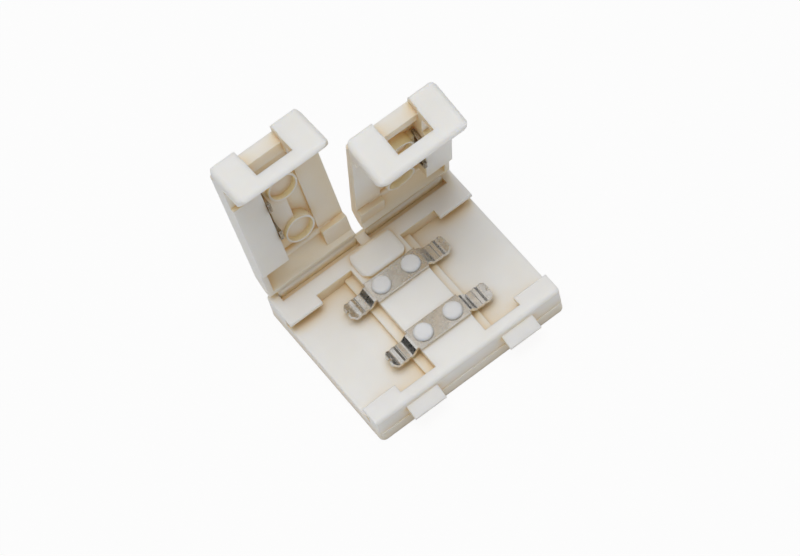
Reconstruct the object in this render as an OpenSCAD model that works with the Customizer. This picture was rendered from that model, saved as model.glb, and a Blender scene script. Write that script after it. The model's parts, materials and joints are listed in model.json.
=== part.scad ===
// Solderless clip connector that joins two flat light strips end to end.
// A moulded base holds the strip ends in a channel, two plated spring
// contacts bridge them, and two flip lids on living hinges press the
// springs down and snap over a catch on the front wall.
//
// Frame: X runs along the strips, Y points to the hinge side, Z is up.
// The origin is the middle of the channel, on the underside of the base.

/* [Strip] */
// Width of the light strip that the channel takes
strip_w = 10; // [8:0.5:12]
// Play between the strip and the channel, both sides together
strip_play = 0.15; // [0.05:0.05:0.4]
// Thickness of the strip with its copper pads
strip_t = 0.55; // [0.3:0.05:0.8]

/* [Base] */
// Length of the base along the strips
base_l = 16.2; // [14:0.1:24]
// Thickness of the channel floor
floor_t = 1.35; // [0.8:0.05:2]
// Height of the walls above the channel floor
wall_rise = 1.1; // [0.95:0.05:1.4]
// Thickness of the front wall at its foot
front_wall_t = 1.12; // [0.9:0.01:1.6]
// Thickness of the rear wall, which carries the hinges
rear_wall_t = 1.98; // [1.7:0.01:2.6]
// Lean of the front wall from its foot to its rim
front_draft = 0.2; // [0:0.05:0.3]
// Rounding of the front rim
rim_r = 0.3; // [0.1:0.05:0.4]
// Rounding of the upright corners
corner_r = 0.45; // [0.1:0.05:0.8]
// Height of the plinth line round the foot
plinth_h = 0.88; // [0.5:0.02:1.1]
// Depth of the plinth line
plinth_d = 0.1; // [0.02:0.01:0.14]
// Length of the ear that stands beside each hinge film
ear_l = 0.72; // [0.4:0.02:1.2]
// How far the ears reach behind the hinge film
ear_reach = 0.45; // [0.2:0.05:0.5]
// Length of the bevel on the ears' rear top edge
ear_bevel = 0.35; // [0.3:0.05:0.45]
// Drop of the bevel on the ears' rear top edge
ear_drop = 0.22; // [0.2:0.02:0.4]
// Width of the groove in front of the hinge film
groove_w = 0.5; // [0.3:0.05:0.8]
// Depth of the groove that the hinge film stands in
groove_d = 0.42; // [0.2:0.02:0.6]

/* [Retaining lugs] */
// Length of each lug along the strip
lug_l = 2.85; // [1.5:0.05:4]
// How far each lug reaches over the strip
lug_reach = 0.76; // [0.3:0.02:1.2]
// Play between the strip and the lug above it
lug_play = 0.17; // [0.05:0.01:0.3]
// Rise of the lead-in under the tip of the lug
lug_lead = 0.1; // [0:0.01:0.15]

/* [Middle block] */
// Width of the block between the two strip ends
block_w = 4.4; // [3.6:0.1:5.2]
// Width of the stop ledge at each side of the block
ledge_w = 0.72; // [0.3:0.02:1.2]
// Height of the stop ledge above the channel floor
ledge_h = 0.4; // [0.2:0.05:0.5]
// Width of the raised pad at the rear of the block
pad_w = 3.8; // [2.8:0.1:4]
// Length of the raised pad
pad_l = 2.55; // [1.9:0.05:2.6]
// Rise of the raised pad above the rim
pad_rise = 0.42; // [0.1:0.02:0.45]
// Rounding of the pad's top edges
pad_r = 0.4; // [0.1:0.02:0.42]
// Rounding of the pad's corners, seen from above
pad_corner = 0.8; // [0.3:0.05:0.9]
// Gap between the pad and the rear contact
pad_gap = 0.1; // [0.05:0.01:0.3]

/* [Contacts] */
// Distance between the two contacts
contact_pitch = 5; // [4:0.1:5.4]
// Width of the contact plate
contact_w = 1.85; // [1.6:0.05:2.2]
// Thickness of the contact sheet
contact_t = 0.28; // [0.15:0.01:0.3]
// Width of the spring arms
arm_w = 1.45; // [1:0.05:1.6]
// Overhang of the plate beyond the block before the arm bends down
bend_out = 0.14; // [0.08:0.02:0.2]
// Length of the steep run of the arm
drop_l = 0.46; // [0.4:0.02:0.6]
// Length of the arm from the foot of the drop to the crease
heel_l = 0.56; // [0.4:0.02:0.7]
// Length of the rippled toe beyond the crease
toe_l = 1.05; // [0.8:0.05:1.2]
// Rise of the tip above the strip
tip_rise = 0.26; // [0.1:0.02:0.3]
// Width of the notch between the two teeth at the tip
notch_w = 0.2; // [0.1:0.02:0.5]
// Depth of the notch at the tip
notch_d = 0.2; // [0.1:0.02:0.4]
// Bevel of the tip's outer corners
tip_bevel = 0.26; // [0.1:0.02:0.4]

/* [Heat stakes] */
// Distance between the two stakes of one contact
stake_pitch = 2.6; // [2.2:0.1:2.8]
// Diameter of the stake in the contact's hole
stake_d = 0.9; // [0.6:0.05:1]
// Play between the stake and its hole, on the radius
stake_play = 0.05; // [0.03:0.01:0.1]
// Diameter of the formed head
head_d = 1.5; // [1.2:0.05:1.6]
// Height of the formed head
head_h = 0.28; // [0.15:0.01:0.4]

/* [Latches] */
// Place of each catch, from the middle of the connector
catch_x = 4.2; // [3.8:0.05:4.6]
// Width of the catch
catch_w = 2.7; // [2:0.05:3]
// Height of the catch's flat underside
catch_z = 1.38; // [1.2:0.02:1.5]
// How far the catch stands in the wall of the lid
catch_bite = 0.62; // [0.3:0.02:0.75]
// Height of the blunt tip of the catch
catch_tip = 0.14; // [0.08:0.02:0.2]
// Height of the lead-in ramp above the tip
catch_ramp = 0.45; // [0.3:0.05:0.6]
// Play between the catch and the sides of its window
window_play = 0.15; // [0.08:0.01:0.25]
// Play under the catch
catch_play = 0.08; // [0.04:0.01:0.15]
// Height of the window in the lid
window_h = 1.9; // [1.4:0.05:2]

/* [Lids] */
// Gap between the two lids
lid_gap = 0.66; // [0.3:0.02:1.2]
// Play between the lid's outer side and the end of the base
lid_inset = 0.12; // [0:0.02:0.4]
// Height of the closed lids
lid_top = 4.34; // [4.2:0.02:4.8]
// Thickness of the lid plate
lid_t = 0.6; // [0.4:0.05:0.7]
// Play between the base's front wall and the lid's end wall
end_play = 0.2; // [0.15:0.01:0.4]
// Thickness of the lid's end wall at the window
end_t = 0.85; // [0.75:0.05:1.1]
// Depth of the thick head of the end wall, inwards
head_depth = 1.25; // [0.8:0.05:1.4]
// Height of the closed end wall's lower edge
end_foot = 0.1; // [0.05:0.01:0.4]
// Play between the closed lid and the rim of the base
rim_play = 0.15; // [0.1:0.01:0.25]
// Step by which the end wall stands out beside the plate, at the inner side
end_step = 0.04; // [0:0.01:0.2]
// Lead-in bevel at the foot of the end wall, across its thickness
foot_bevel = 0.5; // [0.3:0.05:0.6]
// Height of the lead-in bevel
foot_rise = 0.6; // [0.4:0.05:0.8]
// Rounding of the end wall's corners, seen from above
end_r = 0.55; // [0.2:0.05:0.6]
// Rounding of the end wall's corners, seen from its face
end_face_r = 0.7; // [0.2:0.02:0.8]
// Depth of the finger notch above the window
finger_d = 0.95; // [0.5:0.05:1.1]
// How much shallower the finger notch is at the top
finger_lean = 0.2; // [0:0.05:0.4]
// How much wider the finger notch is than the window, at each side
finger_side = 0.05; // [0:0.01:0.2]
// Rounding of the lid's long edges
lid_edge_r = 0.22; // [0.1:0.02:0.3]
// Thickness of the lid's outer side wall
side_t = 0.42; // [0.3:0.02:0.7]
// Place of the inner face of the block that holds the strip down
press_x = 5.7; // [5.6:0.05:6.4]
// How far the block dips below the rim, between the lugs
press_dip = 0.15; // [0:0.01:0.3]
// Play between the block and the front lug
press_play = 0.2; // [0.1:0.02:0.5]
// Play between the block and the rear lug
press_rear_play = 0.4; // [0.2:0.02:0.8]
// Radius of the lid's rounded back
back_r = 2.3; // [2.2:0.02:2.34]
// Radius of the stiffening bead across the lid
bead_r = 0.34; // [0.2:0.02:0.4]
// Distance of the stiffening bead from the hinge line
bead_in = 2.1; // [1.9:0.05:2.6]

// Width of the thicker strip along the lid's inner edge
stiff_w = 2.1; // [1:0.05:2.2]
// How much thicker the lid is along its inner edge
stiff_t = 0.2; // [0.05:0.01:0.4]
// Distance of the thick root's front face from the hinge line
root_in = 2.3; // [2:0.05:2.6]
// Play between the thick root and the pad on the base
root_play = 0.16; // [0.12:0.02:0.3]

/* [Pushers] */
// Diameter of the bosses that press the spring arms
boss_d = 2.4; // [2.2:0.1:2.6]
// Place of the bosses from the middle of the connector
boss_x = 3.9; // [3.8:0.05:4]
// Play between the boss and the contact plate's level
boss_play = 0.12; // [0.08:0.01:0.3]
// Diameter of the shallow cup in each boss
cup_d = 2.1; // [1:0.05:2.15]
// Depth of the cup
cup_h = 0.44; // [0.1:0.02:0.5]
// Step from the boss face back to the rib between the bosses and the clip
rib_step = 0.3; // [0.1:0.02:0.5]
// Width of the metal clip beside the rib
clip_w = 0.26; // [0.2:0.02:0.3]
// Length of each hump of the clip
clip_run = 1.2; // [1:0.05:1.4]
// Distance between the middles of the two humps
clip_pitch = 3.26; // [3:0.02:3.6]
// Place of the clip's middle, towards the end wall
clip_mid = 0.7; // [0.4:0.05:1.2]
// Rise of the humps from the lid's ceiling
clip_rise = 1.66; // [1:0.02:1.7]
// Length of the sloping leg at each side of a hump
clip_leg = 0.25; // [0.2:0.05:0.4]
// Thickness of the clip's wire
clip_t = 0.22; // [0.15:0.01:0.28]
// Play between the clip and the block's inner face
clip_play = 0.04; // [0.02:0.01:0.1]

/* [Hinges] */
// Height of the hinge axis above the rim
hinge_rise = 0.36; // [0.3:0.02:0.42]
// Thickness of the hinge film
film_t = 0.28; // [0.16:0.01:0.3]
// Play between the film's bead and the lid
film_play = 0.1; // [0.06:0.01:0.15]
// How far the lid's outer face passes above the hinge line
lip_rise = 0.15; // [0.12:0.01:0.2]
// Distance below the hinge line from which the lid leaves the film free
film_free = 0.1; // [0.05:0.01:0.12]
// Distance from the lid's inner edge to the end of the hinge film
film_inset = 0.1; // [0:0.05:2]
// Play between the hinge film and the ear beside it
film_gap = 0.1; // [0.05:0.01:0.3]
// Play between the hinge film and the end of its groove
film_room = 0.05; // [0.02:0.01:0.08]

/* [Pose] */
// How far the left lid is open
left_open = 97.5; // [0:0.5:150]
// How far the right lid is open
right_open = 78.1; // [0:0.1:150]

/* [Hidden] */
eps = 0.01;
$fn = 48;
plastic = [0.93, 0.92, 0.88];
plating = [0.78, 0.78, 0.76];

half_l = base_l/2;
chan = (strip_w + strip_play)/2;       // half width of the channel
rim_z = floor_t + wall_rise;
front_y = -chan - front_wall_t;
rear_y = chan + rear_wall_t;
lug_under = floor_t + strip_t + lug_play;
block_x = block_w/2;
ledge_x = block_x + ledge_w;

contact_y = contact_pitch/2;
contact_z = rim_z;                      // underside of the contact plate
contact_top = contact_z + contact_t;
toe_z = floor_t + strip_t + contact_t/2 + 0.01;
bend_x = block_x + bend_out;
tip_x = bend_x + drop_l + heel_l + toe_l;

hinge_y = rear_y - film_t/2;
hinge_z = rim_z + hinge_rise;
relief_r = film_t/2 + film_play;

end_in = front_y - end_play;            // inner face of the lid's end wall
end_out = end_in - end_t;
lid_x0 = lid_gap/2;
lid_x1 = half_l - lid_inset;
plate_x0 = lid_x0 + end_step;
ceiling = lid_top - lid_t;
lid_rim = rim_z + rim_play;
back_y = hinge_y - sqrt(back_r*back_r - pow(hinge_z + lip_rise - lid_top + back_r, 2));
back_z = lid_top - back_r;
press_front = -(chan - lug_reach - press_play);
press_rear = chan - lug_reach - press_rear_play;
win_w = catch_w + 2*window_play;
win_z0 = catch_z - catch_play;
win_z1 = win_z0 + window_h;
boss_face = contact_top + boss_play;
rib_face = boss_face + rib_step;
clip_x = press_x - clip_play - clip_w;
film_x0 = plate_x0 + film_inset;
film_x1 = half_l - ear_l - film_gap;
back_end = rear_y + ear_reach;
root_y = hinge_y - root_in;
root_z = rim_z + pad_rise + root_play;

// A flat shape in Y and Z, drawn out along X from a to b
module along_x(a, b) translate([a, 0, 0]) rotate([90, 0, 90]) linear_extrude(b - a) children();
// A flat shape in X and Z, drawn out along Y from a to b
module along_y(a, b) translate([0, b, 0]) rotate([90, 0, 0]) linear_extrude(b - a) children();
// A flat shape in X and Y, drawn up from a to b
module along_z(a, b) translate([0, 0, a]) linear_extrude(b - a) children();

// Rectangle from corner a to corner b with rounded corners
module rounded(a, b, r) {
    difference() {
        translate(a) square(b - a);
        for (i = [0, 1], j = [0, 1])
            translate([i == 0 ? a.x : b.x, j == 0 ? a.y : b.y])
                mirror([i, 0]) mirror([0, j])
                    difference() {
                        translate([-1, -1]) square(r + 1);
                        translate([r, r]) circle(r = r);
                        translate([r, -2]) square(r + 3);
                        translate([-2, r]) square(r + 3);
                    }
    }
}

// Copies to both ends of the connector
module both_ends() for (s = [0, 1]) mirror([s, 0, 0]) children();

// Base

// Section across the base: front wall with plinth, lean and round rim
module base_section() {
    lean = front_draft;
    difference() {
        polygon([[front_y, 0], [back_end, 0], [back_end, rim_z - ear_drop], [back_end - ear_bevel, rim_z],
                 [front_y + lean, rim_z],
                 [front_y + lean*0.9, rim_z - 0.55], [front_y + plinth_d + lean*0.3, plinth_h],
                 [front_y + lean*0.3, plinth_h - 0.04]]);
        translate([front_y + lean + rim_r, rim_z - rim_r]) difference() {
            translate([-rim_r - 1, 0]) square([rim_r + 1, rim_r + 1]);
            circle(r = rim_r);
        }
    }
}

// Groove along the rear wall that the hinge film stands in, and the cut behind both films
module hinge_groove() {
    y0 = rear_y - film_t - groove_w;
    z0 = rim_z - groove_d;
    along_x(film_x0 - film_room, film_x1 + film_room)
        polygon([[y0, rim_z + 1], [y0, z0 + 0.16], [y0 + 0.16, z0], [back_end + 1, z0], [back_end + 1, rim_z + 1]]);
    translate([-eps, rear_y, z0]) cube([film_x1 + film_room + eps, ear_reach + 1, groove_d + 1]);
}

// Lug over the strip, with a lead-in under its tip
module lug() {
    along_x(half_l - lug_l, half_l)
        polygon([[chan + eps, lug_under], [chan - lug_reach + 0.12, lug_under],
                 [chan - lug_reach, lug_under + lug_lead], [chan - lug_reach, rim_z - 0.08],
                 [chan - lug_reach + 0.08, rim_z], [chan + eps, rim_z]]);
}

// Catch on the front wall: flat below, ramped above
module catch() {
    tip = end_in - catch_bite;
    along_x(catch_x - catch_w/2, catch_x + catch_w/2)
        polygon([[front_y + front_draft + 0.3, catch_z], [tip, catch_z], [tip, catch_z + catch_tip],
                 [front_y + front_draft*0.9, catch_z + catch_tip + catch_ramp],
                 [front_y + front_draft + 0.3, catch_z + catch_tip + catch_ramp]]);
}

// Stake that stands through the contact, with its formed head
module stake() {
    rotate_extrude() polygon(concat(
        [[0, contact_z - 0.3], [stake_d/2, contact_z - 0.3], [stake_d/2, contact_top], [head_d/2, contact_top]],
        [for (i = [1:5]) [head_d/2*cos(i*18*0.55) , contact_top + head_h*sin(i*18)]],
        [[0, contact_top + head_h]]));
}

// Raised pad behind the rear contact
module pad() {
    y1 = contact_y + contact_w/2 + pad_gap;
    intersection() {
        along_z(rim_z - 0.2, rim_z + pad_rise) rounded([-pad_w/2, y1], [pad_w/2, y1 + pad_l], pad_corner);
        along_x(-pad_w/2, pad_w/2) rounded([y1, rim_z - 2], [y1 + pad_l, rim_z + pad_rise], pad_r);
        along_y(y1, y1 + pad_l) rounded([-pad_w/2, rim_z - 2], [pad_w/2, rim_z + pad_rise], pad_r);
    }
}

module base() {
    color(plastic) {
        difference() {
            intersection() {
                along_x(-half_l, half_l) base_section();
                along_z(-1, rim_z + 1) rounded([-half_l, front_y], [half_l, back_end], corner_r);
            }
            both_ends() {
                translate([ledge_x, -chan, floor_t]) cube([half_l, 2*chan, 5]);
                translate([block_x, -chan, floor_t + ledge_h]) cube([half_l, 2*chan, 5]);
                hinge_groove();
            }
        }
        both_ends() {
            lug();
            mirror([0, 1, 0]) lug();
            catch();
            for (y = [-contact_y, contact_y]) translate([stake_pitch/2, y, 0]) stake();
        }
        pad();
    }
}

// Contacts

// Middle line of the spring arm in X and Z, from the plate to the tip
function arm_line() = let (
        z0 = contact_z + contact_t/2, x1 = bend_x + drop_l, x2 = x1 + heel_l, x3 = x2 + toe_l, t = toe_z)
    [[0, z0], [bend_x - 0.06, z0], [bend_x + 0.06, z0 - 0.05],
     [x1 - 0.08, t + 0.15], [x1 + 0.03, t + 0.07], [x1 + 0.16, t + 0.06], [x2 - 0.1, t + 0.09],
     [x2, t + 0.01], [x2 + 0.1, t + 0.05], [x2 + 0.25, t + 0.12], [x2 + 0.4, t + 0.03],
     [x2 + 0.52, t], [x2 + 0.66, t + 0.04], [x3 - 0.22, t + tip_rise*0.55], [x3, t + tip_rise]];
function unit(v) = v/norm(v);
function side(p, i) = let (
        a = i == 0 ? unit(p[1] - p[0]) : unit(p[i] - p[i - 1]),
        b = i == len(p) - 1 ? a : unit(p[i + 1] - p[i]),
        m = unit(a + b), n = [-m.y, m.x])
    n/max(0.5, m*a);
// Flat outline of a sheet of thickness t that follows the line p
module sheet(p, t) polygon(concat(
    [for (i = [0:len(p) - 1]) p[i] + side(p, i)*t/2],
    [for (i = [len(p) - 1:-1:0]) p[i] - side(p, i)*t/2]));

module contact(y) {
    color(plating) translate([0, y, 0]) difference() {
        union() {
            translate([-bend_x + 0.1, -contact_w/2, contact_z]) cube([2*bend_x - 0.2, contact_w, contact_t]);
            both_ends() difference() {
                along_y(-arm_w/2, arm_w/2) sheet(arm_line(), contact_t);
                translate([tip_x - notch_d, -notch_w/2, 0]) cube([2, notch_w, 9]);
                for (m = [0, 1]) mirror([0, m, 0]) along_z(0, 9) polygon([
                    [tip_x + 1, arm_w/2 - tip_bevel - 1], [tip_x + 1, arm_w/2 + 1], [tip_x - tip_bevel - 1, arm_w/2 + 1]]);
            }
        }
        for (s = [-1, 1]) translate([s*stake_pitch/2, 0, contact_z - 1])
            cylinder(h = 3, r = stake_d/2 + stake_play);
    }
}
module rear_contact() contact(contact_y);
module front_contact() contact(-contact_y);

// Hinges

// Film that stands on the rear wall, with a round bead on the axis
module hinge_film() {
    color(plastic) along_x(film_x0, film_x1) union() {
        translate([hinge_y - film_t/2, rim_z - groove_d]) square([film_t, groove_d + hinge_rise]);
        translate([hinge_y, hinge_z]) circle(r = film_t/2);
    }
}
module right_hinge() hinge_film();
module left_hinge() mirror([1, 0, 0]) hinge_film();

// Lids, drawn closed at the right-hand end

// Outline of the lid from the side, without its end wall
module lid_outline() {
    translate([end_in, hinge_z - lip_rise]) square([back_y - end_in, lid_top - hinge_z + lip_rise]);
    intersection() {
        translate([back_y, back_z]) circle(r = back_r, $fn = 96);
        translate([back_y - eps, hinge_z - lip_rise]) square([back_r + 1, back_r + 1]);
    }
}
// Room under the lid plate
module lid_room() {
    translate([end_in - 1, -1]) square([back_y - end_in + 1, ceiling + 1]);
    translate([back_y, back_z]) circle(r = back_r - lid_t, $fn = 96);
    translate([back_y - 2, -1]) square([2 + back_r - lid_t, back_z + 1]);
}

module lid_plate() intersection() {
    along_x(plate_x0, lid_x1) difference() { lid_outline(); lid_room(); }
    along_y(-20, 20) rounded([plate_x0, -5], [lid_x1, lid_top], lid_edge_r);
}

// Thicker strip along the lid's inner edge, with the thick root by the hinge
module lid_root() intersection() {
    along_x(plate_x0, plate_x0 + stiff_w) difference() {
        lid_outline();
        translate([end_in - 1, -1]) square([root_y - end_in + 1, ceiling - stiff_t + 1]);
        translate([root_y - eps, -1]) square([root_in - relief_r + eps, root_z + 1]);
    }
    along_y(-20, 20) rounded([plate_x0, -5], [lid_x1, lid_top], lid_edge_r);
}

// Everything of the lid above the rim, within its outline
module above_rim() difference() {
    lid_outline();
    translate([end_in - 1, -1]) square([40, lid_rim + 1]);
}

// Outer side wall, and the block beside it that holds the strip down between the lugs
module lid_side() intersection() {
    union() {
        along_x(lid_x1 - side_t, lid_x1) above_rim();
        along_x(press_x, lid_x1) intersection() {
            translate([end_in, rim_z - press_dip]) square([press_rear - end_in, lid_top - rim_z]);
            union() {
                above_rim();
                translate([press_front, rim_z - press_dip]) square([press_rear - press_front, lid_top - rim_z - 0.3]);
            }
        }
    }
    along_y(-20, 20) rounded([plate_x0, -5], [lid_x1, lid_top], lid_edge_r);
}

// Thick end wall with round corners
module end_wall() intersection() {
    along_x(lid_x0, lid_x1) intersection() {
        polygon([[end_out, end_foot], [end_in - foot_bevel, end_foot], [end_in, end_foot + foot_rise], [end_in, lid_rim],
                 [end_in + head_depth*0.8, lid_rim + 0.2], [end_in + head_depth, ceiling + 0.1],
                 [end_in + head_depth, lid_top], [end_out, lid_top]]);
        rounded([end_out, end_foot], [end_in + 9, lid_top], end_r*0.7);
    }
    along_z(-1, lid_top + 1) rounded([lid_x0, end_out], [lid_x1, end_in + 9], end_r);
    along_y(-20, 20) rounded([lid_x0, end_foot], [lid_x1, lid_top], end_face_r);
}

// Two cupped bosses, and the rib that runs from them to the clip
module pushers() {
    rib_end = clip_mid + clip_pitch/2 + clip_run/2 + clip_play;
    for (y = [-contact_y, contact_y])
        translate([boss_x, y, boss_face]) difference() {
            cylinder(h = ceiling - boss_face + 0.1, d = boss_d);
            translate([0, 0, -1]) cylinder(h = 1 + cup_h, d = cup_d);
        }
    difference() {
        translate([boss_x, -rib_end, rib_face])
            cube([clip_x - clip_play - boss_x, rib_end + contact_y, ceiling - rib_face + 0.1]);
        for (y = [-contact_y, contact_y]) translate([boss_x, y, rib_face - 1]) cylinder(h = 9, d = boss_d - 0.1);
    }
}

module lid() difference() {
    union() {
        lid_plate();
        lid_root();
        lid_side();
        end_wall();
        pushers();
        along_x(plate_x0 + stiff_w/2, lid_x1 - side_t/2)
            translate([hinge_y - bead_in, ceiling]) circle(r = bead_r);
    }
    // Window for the catch
    translate([catch_x - win_w/2, end_out - 1, win_z0]) cube([win_w, end_t + head_depth + 2, window_h]);
    // Finger notch above the window
    along_x(catch_x - win_w/2 - finger_side, catch_x + win_w/2 + finger_side)
        polygon([[end_out - 1, win_z1 - eps], [end_out + finger_d, win_z1 - eps],
                 [end_out + finger_d - finger_lean, lid_top + 1], [end_out - 1, lid_top + 1]]);
    // Relief round the hinge bead
    along_x(plate_x0 - 1, lid_x1 + 1) union() {
        translate([hinge_y, hinge_z]) circle(r = relief_r);
        translate([hinge_y - relief_r, hinge_z - 1]) square([2, 1 - film_free]);
    }
}

// Closed shape turned open about the hinge axis
module opened(angle) translate([0, hinge_y, hinge_z]) rotate([-angle, 0, 0])
    translate([0, -hinge_y, -hinge_z]) children();

module right_lid() color(plastic) opened(right_open) lid();
module left_lid() color(plastic) opened(left_open) mirror([1, 0, 0]) lid();

// Clips

// Wire clip with two humps, lying beside the block under the ceiling
module clip() translate([0, -clip_mid, 0]) {
    lo = ceiling;
    hi = ceiling - clip_rise;
    a = clip_pitch/2 + clip_run/2;
    b = clip_pitch/2 - clip_run/2;
    line = [[-a, lo - clip_t/2], [-a + clip_leg, hi + clip_t/2], [-b - clip_leg, hi + clip_t/2], [-b, lo - clip_t/2],
            [b, lo - clip_t/2], [b + clip_leg, hi + clip_t/2], [a - clip_leg, hi + clip_t/2], [a, lo - clip_t/2]];
    along_x(clip_x, clip_x + clip_w) sheet(line, clip_t);
}
module right_clip() color(plating) opened(right_open) clip();
module left_clip() color(plating) opened(left_open) mirror([1, 0, 0]) clip();

base();
rear_contact();
front_contact();
left_hinge();
right_hinge();
left_lid();
right_lid();
left_clip();
right_clip();
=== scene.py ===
# %% [markdown]
# # A snap-lid clip connector, dressed in Blender
# The real object is a moulded base about 16 mm wide, with two flip lids on living hinges,
# two sprung metal contacts and a small wire clip in each lid. Its solids come in as a
# fixed frame, in which every size is settled. This lesson gives them their finishes, adds
# the two hinge films, bent as far as the lids stand open, and sets up a pale studio with a
# camera at the viewpoint of the photograph. The looks could be painted on as pictures, but
# this part is seen from every side, so they are built from nodes, which cover each face at
# real scale.

# %% The frame
import json
import math

import bmesh
import bpy
from mathutils import Matrix, Vector


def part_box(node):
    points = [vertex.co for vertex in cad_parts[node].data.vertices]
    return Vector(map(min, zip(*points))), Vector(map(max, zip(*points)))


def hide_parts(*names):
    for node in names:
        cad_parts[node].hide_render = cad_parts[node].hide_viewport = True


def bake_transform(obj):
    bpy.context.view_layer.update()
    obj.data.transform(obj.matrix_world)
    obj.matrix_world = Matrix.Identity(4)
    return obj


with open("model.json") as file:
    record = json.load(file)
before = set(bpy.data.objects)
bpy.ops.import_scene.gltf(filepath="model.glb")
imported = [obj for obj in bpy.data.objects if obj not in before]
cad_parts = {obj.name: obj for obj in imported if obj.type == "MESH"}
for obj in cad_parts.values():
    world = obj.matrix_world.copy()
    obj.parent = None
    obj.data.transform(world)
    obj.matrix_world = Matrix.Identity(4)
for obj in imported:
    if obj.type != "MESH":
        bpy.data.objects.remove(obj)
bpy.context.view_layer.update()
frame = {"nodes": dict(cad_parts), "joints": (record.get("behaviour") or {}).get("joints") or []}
nodes = frame["nodes"]
print("nodes:", sorted(nodes))

# %% Millimetres
# Blender counts in metres, and this part is easier to think of in millimetres
MM = 0.001

# %% [markdown]
# ## Rounded wire
# The two clips are bent from thin wire, so their edges are round enough to see. They
# could be made again as curves with a thickness, but the solids already have the right
# bends, so only the edges change. The imported faces are triangles that share no points:
# a Weld modifier joins them, and a Bevel modifier then rounds every edge above an angle
# and leaves the flat joins alone. The other pieces have far smaller radii, and get them
# with their finish further down.

# %% Rounded wire
SAME_POINT = 0.002 * MM
WIRE_EDGE = 0.08 * MM
SHARP_FROM = math.radians(28)


def round_wire(clip):
    """Rounds the edges of a clip and leaves it where it is."""
    weld = clip.modifiers.new("weld", "WELD")
    weld.merge_threshold = SAME_POINT
    round_off = clip.modifiers.new("edges", "BEVEL")
    round_off.width = WIRE_EDGE
    round_off.segments = 3
    round_off.limit_method = "ANGLE"
    round_off.angle_limit = SHARP_FROM
    round_off.harden_normals = True
    print("rounded", clip.name, "by", round(WIRE_EDGE / MM, 3), "mm")


for name in ("left_clip", "right_clip"):
    round_wire(nodes[name])

# %% [markdown]
# ## Shared surface effects
# Two effects turn up in more than one finish: the grain of a moulded skin, and the
# clouds of a dipped metal coat. Each could be copied into every material, but then one
# change would have to be made in many places. So each is a node group, built once, with
# named sockets for what differs. Both read the object's own coordinates, scaled to
# millimetres, so that a noise scale says how many bumps there are in a millimetre.

# %% A helper for node groups
def new_group(name, inputs, outputs):
    """A shader group with named sockets: (name, kind, default) in, (name, kind) out."""
    group = bpy.data.node_groups.new(name, "ShaderNodeTree")
    for label, kind, default in inputs:
        socket = group.interface.new_socket(label, in_out="INPUT", socket_type=kind)
        socket.default_value = default
    for label, kind in outputs:
        group.interface.new_socket(label, in_out="OUTPUT", socket_type=kind)
    return group, group.nodes.new("NodeGroupInput"), group.nodes.new("NodeGroupOutput")


COLOUR, NUMBER = "NodeSocketColor", "NodeSocketFloat"
SKIN = [("Color", COLOUR), ("Roughness", NUMBER), ("Height", NUMBER)]
print("each group puts out", [label for label, kind in SKIN])


# %% Helpers for the nodes inside
def in_millimetres(tree):
    """Object coordinates, times a thousand."""
    where = tree.nodes.new("ShaderNodeTexCoord")
    grow = tree.nodes.new("ShaderNodeVectorMath")
    grow.operation = "SCALE"
    grow.inputs["Scale"].default_value = 1 / MM
    tree.links.new(where.outputs["Object"], grow.inputs[0])
    return grow.outputs["Vector"]


def noise(tree, place, scale, detail, rough=0.5):
    """A noise that reads millimetres, from 0 to 1 with most of it near a half."""
    tex = tree.nodes.new("ShaderNodeTexNoise")
    tex.inputs["Scale"].default_value = scale
    tex.inputs["Detail"].default_value = detail
    tex.inputs["Roughness"].default_value = rough
    tree.links.new(place, tex.inputs["Vector"])
    return tex.outputs["Fac"]


def remap(tree, value, span, onto):
    """Stretches a span of values onto the range that a finish needs."""
    step = tree.nodes.new("ShaderNodeMapRange")
    for label, number in zip(("From Min", "From Max", "To Min", "To Max"), span + onto):
        step.inputs[label].default_value = number
    tree.links.new(value, step.inputs["Value"])
    return step.outputs["Result"]


def mix_colours(tree, factor, first, second):
    """The first colour where the factor is 0, the second where it is 1."""
    mix = tree.nodes.new("ShaderNodeMix")
    mix.data_type = "RGBA"
    for label, value in (("Factor", factor), ("A", first), ("B", second)):
        tree.links.new(value, mix.inputs[label])
    return mix.outputs["Result"]


def total(tree, first, second):
    """The sum of two values."""
    add = tree.nodes.new("ShaderNodeMath")
    add.operation = "ADD"
    tree.links.new(first, add.inputs[0])
    tree.links.new(second, add.inputs[1])
    return add.outputs["Value"]


print("noise coordinates grow by", round(1 / MM))
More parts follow.
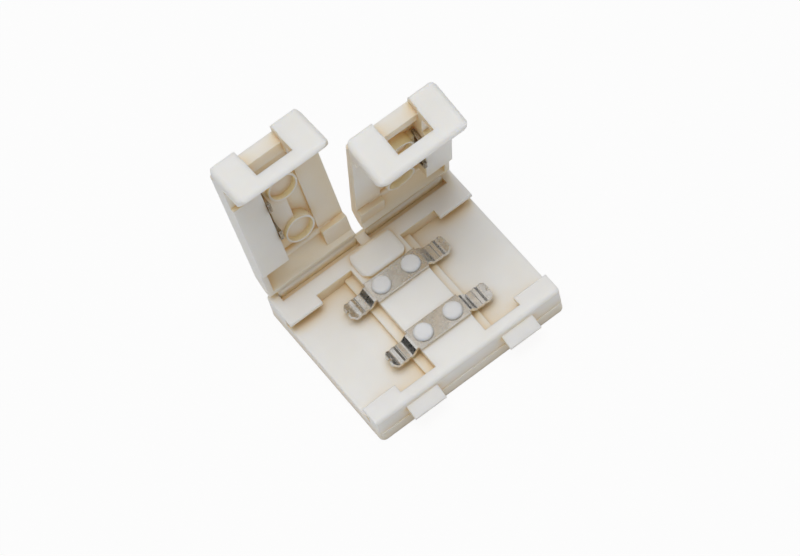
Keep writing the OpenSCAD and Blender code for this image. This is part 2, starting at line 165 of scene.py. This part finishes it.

# %% [markdown]
# ## Mould grain and painted shade
# A spark-eroded mould leaves a fine, even grain on plastic, and the melt sets with faint,
# slow streaks of tone. To carve the grain into the mesh would take millions of faces for
# something that only breaks up the gloss, so it is left to bump and roughness. A slow
# noise mixes two nearly equal ivories for the streaks, and a fine one is the grain. A
# third colour is painted shade: a tan that takes over where the surface is sheltered. How
# open a point is comes in through a socket, because only the material itself may measure
# that.

# %% Mould grain and painted shade
def mould_grain_and_painted_shade():
    """Colour, roughness and height of a moulded skin, with painted shade in its hollows."""
    group, enter, leave = new_group("mould grain and painted shade", [
        ("Pale", COLOUR, (0.8, 0.8, 0.8, 1)),
        ("Deep", COLOUR, (0.7, 0.7, 0.7, 1)),
        # the tan of the painted shade in sheltered places
        ("Painted Shade", COLOUR, (0.7, 0.6, 0.5, 1)),
        ("Open", NUMBER, 1.0),
        ("Sheltered", NUMBER, 0.30),
        ("Exposed", NUMBER, 0.85),
        ("Roughness", NUMBER, 0.4)], SKIN)
    socket, link = enter.outputs, group.links.new
    place = in_millimetres(group)
    streaks = noise(group, place, scale=0.35, detail=2)
    grain = noise(group, place, scale=9.0, detail=3, rough=0.6)
    ivory = mix_colours(group, remap(group, streaks, span=(0.35, 0.65), onto=(0.0, 1.0)),
                        socket["Pale"], socket["Deep"])
    # Painted shade up to Sheltered, ivory from Exposed on, and a blend between the two
    ease = group.nodes.new("ShaderNodeMapRange")
    link(socket["Open"], ease.inputs["Value"])
    link(socket["Sheltered"], ease.inputs["From Min"])
    link(socket["Exposed"], ease.inputs["From Max"])
    shaded = mix_colours(group, ease.outputs["Result"], socket["Painted Shade"], ivory)
    uneven = remap(group, grain, span=(0.3, 0.7), onto=(-0.05, 0.05))
    link(shaded, leave.inputs["Color"])
    link(total(group, socket["Roughness"], uneven), leave.inputs["Roughness"])
    link(grain, leave.inputs["Height"])
    return group


MOULD_GRAIN_AND_PAINTED_SHADE = mould_grain_and_painted_shade()
print("group:", MOULD_GRAIN_AND_PAINTED_SHADE.name, "with", len(MOULD_GRAIN_AND_PAINTED_SHADE.nodes), "nodes")

# %% [markdown]
# ## Plating cloud
# Tin that was dipped or plated isn't an even mirror: it has broad cloudy patches, duller
# and rougher than the rest, and a skin of tiny pits. One noise could give either but not
# both, because they differ in size by about ten times. So a coarse noise makes the
# clouds, a fine one the pits, and their sum picks between a bright and a dull tone.

# %% Plating cloud
PIT_SHARE = 0.8


def plating_cloud():
    """Colour, roughness and height of a dipped metal coat."""
    group, enter, leave = new_group("plating cloud", [
        ("Bright", COLOUR, (0.8, 0.8, 0.8, 1)),
        ("Dull", COLOUR, (0.6, 0.6, 0.6, 1)),
        ("Roughness", NUMBER, 0.3)], SKIN)
    socket, link = enter.outputs, group.links.new
    place = in_millimetres(group)
    cloud = noise(group, place, scale=1.6, detail=4, rough=0.65)
    pits = noise(group, place, scale=14.0, detail=3, rough=0.6)
    dullness = total(group, remap(group, cloud, span=(0.35, 0.65), onto=(0.0, 0.55)),
                     remap(group, pits, span=(0.4, 0.62), onto=(0.0, 0.45)))
    uneven = remap(group, cloud, span=(0.3, 0.7), onto=(-0.06, 0.1))
    # The height is the clouds, plus a share of the pits
    height = group.nodes.new("ShaderNodeMath")
    height.operation = "MULTIPLY_ADD"
    link(pits, height.inputs[0])
    height.inputs[1].default_value = PIT_SHARE
    link(cloud, height.inputs[2])
    link(mix_colours(group, dullness, socket["Bright"], socket["Dull"]), leave.inputs["Color"])
    link(total(group, socket["Roughness"], uneven), leave.inputs["Roughness"])
    link(height.outputs["Value"], leave.inputs["Height"])
    return group


PLATING_CLOUD = plating_cloud()
print("group:", PLATING_CLOUD.name, "with", len(PLATING_CLOUD.nodes), "nodes")

# %% [markdown]
# ## The finishes
# Every finish here is one Principled shader that a shared group feeds. Corners of small
# mouldings and stampings are rounded by less than a tenth of a millimetre, yet each of
# them catches a thin line of light, and without it a part looks like a drawing. A bevel
# in the mesh would need thousands of faces for that, and would cross itself in the
# narrow gaps. A Bevel node bends only the normals, so it can be that small.

# %% The finishes
def dressed_material(name, group, colours, roughness, relief, depth, edge):
    """A Principled material that a shared group feeds, with softened edges."""
    material = bpy.data.materials.new(name)
    material.use_nodes = True
    tree = material.node_tree
    shader = tree.nodes["Principled BSDF"]
    skin = tree.nodes.new("ShaderNodeGroup")
    skin.node_tree = group
    for label, colour in colours.items():
        skin.inputs[label].default_value = (*colour, 1)
    skin.inputs["Roughness"].default_value = roughness
    edges = tree.nodes.new("ShaderNodeBevel")
    edges.samples = 6
    edges.inputs["Radius"].default_value = edge
    bump = tree.nodes.new("ShaderNodeBump")
    bump.inputs["Strength"].default_value = relief
    bump.inputs["Distance"].default_value = depth
    tree.links.new(skin.outputs["Color"], shader.inputs["Base Color"])
    tree.links.new(skin.outputs["Roughness"], shader.inputs["Roughness"])
    tree.links.new(skin.outputs["Height"], bump.inputs["Height"])
    tree.links.new(edges.outputs["Normal"], bump.inputs["Normal"])
    tree.links.new(bump.outputs["Normal"], shader.inputs["Normal"])
    print(name, "has edges softened by", round(edge / MM, 2), "mm")
    return material, shader, skin


# %% [markdown]
# ## Milky plastic
# The housing is a milky, ivory plastic that lets light in. Its lit faces are nearly
# neutral, and its hollows and inner corners turn tan, because light that gets there has
# bounced between the walls or gone through them. Subsurface scattering gives the soft
# part of that. It can't give the tan without tinting the lit faces too, so the tan is
# painted shade: an Ambient Occlusion node measures how open each point is, and the grain
# group paints the tan in where it isn't. The lids are deep trays, so theirs looks further
# around.

# %% Milky plastic
IVORY = {"Pale": (0.88, 0.875, 0.855), "Deep": (0.86, 0.85, 0.82)}
# The tans of the painted shade in hollows: one for the housing, a paler one for the films
PAINTED_SHADE_TAN = (0.79, 0.61, 0.345)
PALE_PAINTED_SHADE_TAN = (0.95, 0.80, 0.56)


def milky_plastic(name, reach, exposed, soak, shade_tan=PAINTED_SHADE_TAN):
    """Plastic with painted shade, a tan where walls stand within reach, and that light soaks
    into.
    """
    material, shader, grain = dressed_material(
        name, MOULD_GRAIN_AND_PAINTED_SHADE, {**IVORY, "Painted Shade": shade_tan},
        roughness=0.42, relief=0.25, depth=0.004 * MM, edge=0.09 * MM)
    shader.inputs["Subsurface Weight"].default_value = 0.75
    shader.inputs["Subsurface Radius"].default_value = (1.0, 0.92, 0.76)
    shader.inputs["Subsurface Scale"].default_value = soak
    shader.inputs["IOR"].default_value = 1.5
    tree = material.node_tree
    around = tree.nodes.new("ShaderNodeAmbientOcclusion")
    around.samples = 8
    around.inputs["Distance"].default_value = reach
    tree.links.new(around.outputs["AO"], grain.inputs["Open"])
    grain.inputs["Exposed"].default_value = exposed
    return material


base_plastic = milky_plastic("base plastic", reach=3.0 * MM, exposed=0.85, soak=1.0 * MM)
lid_plastic = milky_plastic("lid plastic", reach=6.0 * MM, exposed=1.0, soak=1.0 * MM)
# A thin film would lose its red light out of the back and look blue, so it soaks less, and its
# painted shade is a paler tan
film_plastic = milky_plastic("film plastic", reach=3.0 * MM, exposed=0.85, soak=0.08 * MM,
                             shade_tan=PALE_PAINTED_SHADE_TAN)

# %% [markdown]
# ## The metals
# The contacts are stamped from a copper alloy under a pale coat of tin, soft and satin.
# The clips are harder, smoother wire, dark with a few bright glints, and both are painted:
# the near-black dull tone stands for the dark that the wire reflects, and its bright
# patches are painted glints. The tin could be a clear layer over copper, but the real coat
# is opaque, so a single metal layer is true to it. Both take the plating group, and differ
# in tone, roughness and relief alone.

# %% The metals
tin_plate, tin_shader, _ = dressed_material(
    "tin plate", PLATING_CLOUD,
    {"Bright": (0.84, 0.82, 0.785), "Dull": (0.64, 0.62, 0.585)},
    roughness=0.24, relief=0.3, depth=0.006 * MM, edge=0.07 * MM)

# Painted reflection: the near-black dull tone paints the dark that the wire reflects, and the
# bright patches paint its glints
clip_wire_painted_reflections, wire_shader, _ = dressed_material(
    "clip wire with painted reflections", PLATING_CLOUD,
    {"Bright": (0.66, 0.60, 0.51), "Dull": (0.05, 0.043, 0.033)},
    roughness=0.12, relief=0.7, depth=0.006 * MM, edge=0.03 * MM)

for shader in (tin_shader, wire_shader):
    shader.inputs["Metallic"].default_value = 1.0

# %% [markdown]
# ## Which piece wears what
# The solids come in with plain stand-in materials. New copies of the meshes could carry
# the finishes, but the solids have to stay the frame's own. So a table names the finish
# of each node, and a loop puts it into the material slots that are already there.

# %% Which piece wears what
FINISH = {
    "base": base_plastic, "left_lid": lid_plastic, "right_lid": lid_plastic,
    "left_hinge": film_plastic, "right_hinge": film_plastic,
    "rear_contact": tin_plate, "front_contact": tin_plate,
    "left_clip": clip_wire_painted_reflections, "right_clip": clip_wire_painted_reflections,
}
for name, material in FINISH.items():
    for slot in nodes[name].material_slots:
        slot.material = material
print("finished", len(FINISH), "nodes")

# %% [markdown]
# ## The living hinges
# Base and lids come out of one mould, joined by a film a quarter of a millimetre thick
# that bends and never breaks. A rigid piece can't show that, and an armature is more
# than it needs. So each film is a small mesh with many rows of points, from the rear
# wall of the base, through the hinge line, into the back of the lid, bent to the angle at
# which its lid stands open.

# %% The line of a film
FOOT_SINK = 0.04 * MM  # how far the foot stands in the base
BEND_FROM = 0.3 * MM  # the bend starts this far below the hinge line
BEND_TO = 0.50 * MM  # and ends this far up the back of the lid
BEND_STEPS = 14
WAIST = 0.25  # the share by which the film is thinner where it bends most


def film_rows(axis, foot_z, toward, half):
    """Rows of middle point, normal and half thickness, from the foot into the lid."""
    inward = Vector((0, -1, 0))
    foot = Vector((axis.x, axis.y, foot_z))
    a, b, c = axis - Vector((0, 0, BEND_FROM)), axis, axis + toward * BEND_TO
    rows = [(foot, inward, half), ((foot + a) / 2, inward, half)]
    for i in range(BEND_STEPS + 1):
        # A quadratic curve from under the hinge line to inside the lid
        t = i / BEND_STEPS
        middle = a * (1 - t) ** 2 + b * 2 * t * (1 - t) + c * t * t
        way = ((b - a) * (1 - t) + (c - b) * t).normalized()
        thin = 1 - WAIST * math.sin(math.pi * t)
        rows.append((middle, Vector((0, -way.z, way.y)), half * thin))
    return rows


print("a film bends over", round((BEND_FROM + BEND_TO) / MM, 2), "mm")

# %% The skin of a film
COLUMNS = 24


def film_mesh(name, rows, left, right):
    """A closed skin over both sides and all four edges of the rows."""
    bm = bmesh.new()
    xs = [left + (right - left) * k / COLUMNS for k in range(COLUMNS + 1)]
    front = [[bm.verts.new((x, *(p + n * h).yz)) for x in xs] for p, n, h in rows]
    back = [[bm.verts.new((x, *(p - n * h).yz)) for x in xs] for p, n, h in rows]
    for i in range(len(rows) - 1):
        for k in range(COLUMNS):
            bm.faces.new((front[i][k], front[i][k + 1], front[i + 1][k + 1], front[i + 1][k]))
            bm.faces.new((back[i][k], back[i + 1][k], back[i + 1][k + 1], back[i][k + 1]))
        for k in (0, COLUMNS):
            bm.faces.new((front[i][k], front[i + 1][k], back[i + 1][k], back[i][k]))
    for i in (0, -1):
        for k in range(COLUMNS):
            bm.faces.new((front[i][k], front[i][k + 1], back[i][k + 1], back[i][k]))
    bmesh.ops.recalc_face_normals(bm, faces=bm.faces)
    mesh = bpy.data.meshes.new(name)
    bm.to_mesh(mesh)
    bm.free()
    for face in mesh.polygons:
        face.use_smooth = True
    return mesh


print("a film is", COLUMNS, "faces wide")

# %% The two films
CLOSED_LEAN = 128  # degrees at which the back of a closed lid leaves the hinge line


def hinge_film(name, cad_node, body, opened):
    """A film from the base to a lid that stands open by that many degrees."""
    low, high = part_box(cad_node)
    joint = next(j for j in frame["joints"] if j["child"] == body)
    axis = Vector(joint["pos_m"])
    lean = math.radians(CLOSED_LEAN - opened)
    toward = Vector((0, math.cos(lean), math.sin(lean)))
    rows = film_rows(axis, low.z - FOOT_SINK, toward, (high.y - low.y) / 2)
    mesh = film_mesh(name, rows, low.x, high.x)
    mesh.materials.append(film_plastic)
    film = bpy.data.objects.new(name, mesh)
    bpy.context.scene.collection.objects.link(film)
    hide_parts(cad_node)
    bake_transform(film)
    print(name, "has", len(mesh.polygons), "faces")


hinge_film("left_film", "left_hinge", "left_lid", opened=97.5)
hinge_film("right_film", "right_hinge", "right_lid", opened=78.1)

# %% [markdown]
# ## The studio
# The part was photographed on pure white, with soft light from above that leaves the
# undersides of the lids in shade. More light would turn the floor white, but it would
# bleach the plastic too. So the floor and the world are white only for rays from the
# camera, from reflections and through glass. For all other light the floor is a plain
# pale sheet that takes a shadow, and the world is a dim, even fill.

# %% White for the eye only
SEEN_BY = ("Is Camera Ray", "Is Glossy Ray", "Is Transmission Ray")


def seen_white(tree, plain, shown):
    """The shown shader for the rays in SEEN_BY, and the plain one for all others."""
    path = tree.nodes.new("ShaderNodeLightPath")
    any_ray = path.outputs[SEEN_BY[0]]
    for label in SEEN_BY[1:]:
        either = tree.nodes.new("ShaderNodeMath")
        either.operation = "MAXIMUM"
        tree.links.new(any_ray, either.inputs[0])
        tree.links.new(path.outputs[label], either.inputs[1])
        any_ray = either.outputs["Value"]
    mix = tree.nodes.new("ShaderNodeMixShader")
    tree.links.new(any_ray, mix.inputs["Fac"])
    tree.links.new(plain, mix.inputs[1])
    tree.links.new(shown, mix.inputs[2])
    return mix.outputs["Shader"]


print("white for", SEEN_BY)

# %% Floor
FLOOR_SIZE = 2.0
FLOOR_DROP = 0.02 * MM  # keeps the floor off the underside of the base
GLOW_SHARE = 0.92  # the rest is lit paper, which keeps a trace of the shadow

floor_material = bpy.data.materials.new("white sweep")
floor_material.use_nodes = True
tree = floor_material.node_tree
paper = tree.nodes["Principled BSDF"]
paper.inputs["Base Color"].default_value = (0.82, 0.82, 0.82, 1)
paper.inputs["Roughness"].default_value = 0.9
glow = tree.nodes.new("ShaderNodeEmission")
glow.inputs["Color"].default_value = (1, 1, 1, 1)
glow.inputs["Strength"].default_value = 1.0
lit = tree.nodes.new("ShaderNodeMixShader")
lit.inputs["Fac"].default_value = GLOW_SHARE
tree.links.new(paper.outputs["BSDF"], lit.inputs[1])
tree.links.new(glow.outputs["Emission"], lit.inputs[2])
tree.links.new(seen_white(tree, paper.outputs["BSDF"], lit.outputs["Shader"]),
               tree.nodes["Material Output"].inputs["Surface"])

bpy.ops.mesh.primitive_plane_add(size=FLOOR_SIZE, location=(0, 0, -FLOOR_DROP))
floor = bpy.context.object
floor.name = "floor"
floor.data.materials.append(floor_material)
print("the floor is", FLOOR_SIZE, "m wide")

# %% World
EVEN_FILL = 0.345

world = bpy.data.worlds.new("studio")
bpy.context.scene.world = world
world.use_nodes = True
tree = world.node_tree
ambient = tree.nodes["Background"]
ambient.inputs["Color"].default_value = (1.0, 1.0, 1.0, 1)
ambient.inputs["Strength"].default_value = EVEN_FILL
white = tree.nodes.new("ShaderNodeBackground")
white.inputs["Strength"].default_value = 1.0
tree.links.new(seen_white(tree, ambient.outputs["Background"], white.outputs["Background"]),
               tree.nodes["World Output"].inputs["Surface"])
print("even fill of", EVEN_FILL)

# %% [markdown]
# ## The lamps
# One broad lamp overhead gives the soft shadows, and a weak one in front opens the near
# walls. Flat metal would show the broad lamp as a burnt patch. A photographer would turn
# the lamp away and lose its light, but here a lamp can be hidden from reflections, with
# a weaker twin in the same place that they do see.

# %% The lamps
ABOVE = (-0.02, 0.02, 0.40)
IN_FRONT = (-0.25, -0.35, 0.25)


def soft_lamp(name, place, size, power, in_reflections=True):
    """A square area lamp that faces the connector."""
    data = bpy.data.lights.new(name, "AREA")
    data.shape = "SQUARE"
    data.size = size
    data.energy = power
    lamp = bpy.data.objects.new(name, data)
    lamp.visible_glossy = in_reflections
    lamp.location = place
    lamp.rotation_euler = (-Vector(place)).to_track_quat("-Z", "Y").to_euler()
    bpy.context.scene.collection.objects.link(lamp)
    print(name, "lamp of", power, "W")


soft_lamp("overhead", ABOVE, size=0.26, power=0.79, in_reflections=False)
soft_lamp("overhead sheen", ABOVE, size=0.26, power=0.15)
soft_lamp("front fill", IN_FRONT, size=0.30, power=0.04)

# %% [markdown]
# ## Dark things for the metal to show
# Bare metal has no shade of its own, it only shows what is around it, and in a white
# room it looks like paper. A darker metal would look dull in every light, so a
# photographer stands dark cards beside a bright one instead. These are seen by
# reflections alone, so no light on the plastic is lost to them: two black cards darken
# the steep faces of the spring arms and draw lines in their ripples, and a low grey band
# all round gives the flat plates a shade when they are seen from the side.

# %% Greys without gloss
def matt(name, shade):
    """A grey that doesn't shine."""
    material = bpy.data.materials.new(name)
    material.use_nodes = True
    shader = material.node_tree.nodes["Principled BSDF"]
    shader.inputs["Base Color"].default_value = (shade, shade, shade, 1)
    shader.inputs["Roughness"].default_value = 1.0
    shader.inputs["Specular IOR Level"].default_value = 0.0
    print(name, "has a shade of", shade)
    return material


BLACK = matt("black card", 0.01)
GREY = matt("grey band", 0.30)


# %% The black cards
def mm(*values):
    """A point written in millimetres, as metres."""
    return tuple(v * MM for v in values)


def for_reflections(thing, name, material):
    """Names a thing beside the part and hides it from every ray but glossy ones."""
    thing.name = name
    thing.data.materials.append(material)
    thing.visible_camera = False
    thing.visible_diffuse = False
    thing.visible_transmission = False
    thing.visible_volume_scatter = False
    thing.visible_shadow = False


def black_card(name, place, width, height):
    """An upright card that faces the connector."""
    bpy.ops.mesh.primitive_plane_add(size=1.0)
    card = bpy.context.object
    card.scale = (width, height, 1)
    card.location = place
    facing = math.atan2(place[1], place[0]) + math.radians(90)
    card.rotation_euler = (math.radians(90), 0, facing)
    for_reflections(card, name, BLACK)
    print(name, "stands", round(Vector(place).length / MM), "mm away")


black_card("left_card", mm(-24, 10, 6), width=36 * MM, height=16 * MM)
black_card("right_card", mm(34, 20, 22), width=30 * MM, height=18 * MM)

# %% The grey band
# Seen from the side, a flat plate shows what stands low on the far side of it
BAND_RADIUS, BAND_HEIGHT, BAND_MIDDLE = mm(60, 26, 20)

bpy.ops.mesh.primitive_cylinder_add(vertices=64, radius=BAND_RADIUS, depth=BAND_HEIGHT,
                                    end_fill_type="NOTHING", location=(0, 0, BAND_MIDDLE))
for_reflections(bpy.context.object, "grey_band", GREY)
print("the band stands", round(BAND_RADIUS / MM), "mm away, all round")

# %% [markdown]
# ## The camera
# A camera can be placed by eye, but then every later comparison is in doubt. Here the
# contacts and the corners of the base fixed where it stood: about 61 degrees above the
# table, 22 degrees to the left, and turned by 16 degrees. A long lens at a quarter of a
# metre gives the mild perspective of the photograph.

# %% The camera
TURN, RISE, ROLL = (math.radians(v) for v in (22.28, 60.82, 16.48))
DISTANCE = 244.42 * MM
PIXELS_PER_MM = 14.038
WIDTH, HEIGHT = 800, 556
ORIGIN_SEEN_AT = (422.39, 316.06)

right = Vector((math.cos(TURN), -math.sin(TURN), 0))
up = Vector((math.sin(TURN) * math.sin(RISE), math.cos(TURN) * math.sin(RISE), math.cos(RISE)))
back = Vector((-math.sin(TURN) * math.cos(RISE), -math.cos(TURN) * math.cos(RISE),
               math.sin(RISE)))
across = right * math.cos(ROLL) - up * math.sin(ROLL)
upward = right * math.sin(ROLL) + up * math.cos(ROLL)

lens = bpy.data.cameras.new("camera")
lens.sensor_fit = "HORIZONTAL"
lens.sensor_width = 36.0
lens.lens = PIXELS_PER_MM * (DISTANCE / MM) * lens.sensor_width / WIDTH
lens.shift_x = -(ORIGIN_SEEN_AT[0] - WIDTH / 2) / WIDTH
lens.shift_y = (ORIGIN_SEEN_AT[1] - HEIGHT / 2) / WIDTH
lens.clip_start = 1 * MM
camera = bpy.data.objects.new("camera", lens)
facing = Matrix((across, upward, back)).transposed().to_4x4()
camera.matrix_world = Matrix.Translation(back * DISTANCE) @ facing
bpy.context.scene.collection.objects.link(camera)
bpy.context.scene.camera = camera
print("lens", round(lens.lens, 1), "mm")

# %% [markdown]
# ## Colours as written
# Blender can bend colours to look like film, which is kind to bright light but moves
# every tone. The Standard view shows a colour as it is set, so a finish can be compared
# with the photograph by eye.

# %% Finish
bpy.context.scene.view_settings.view_transform = "Standard"
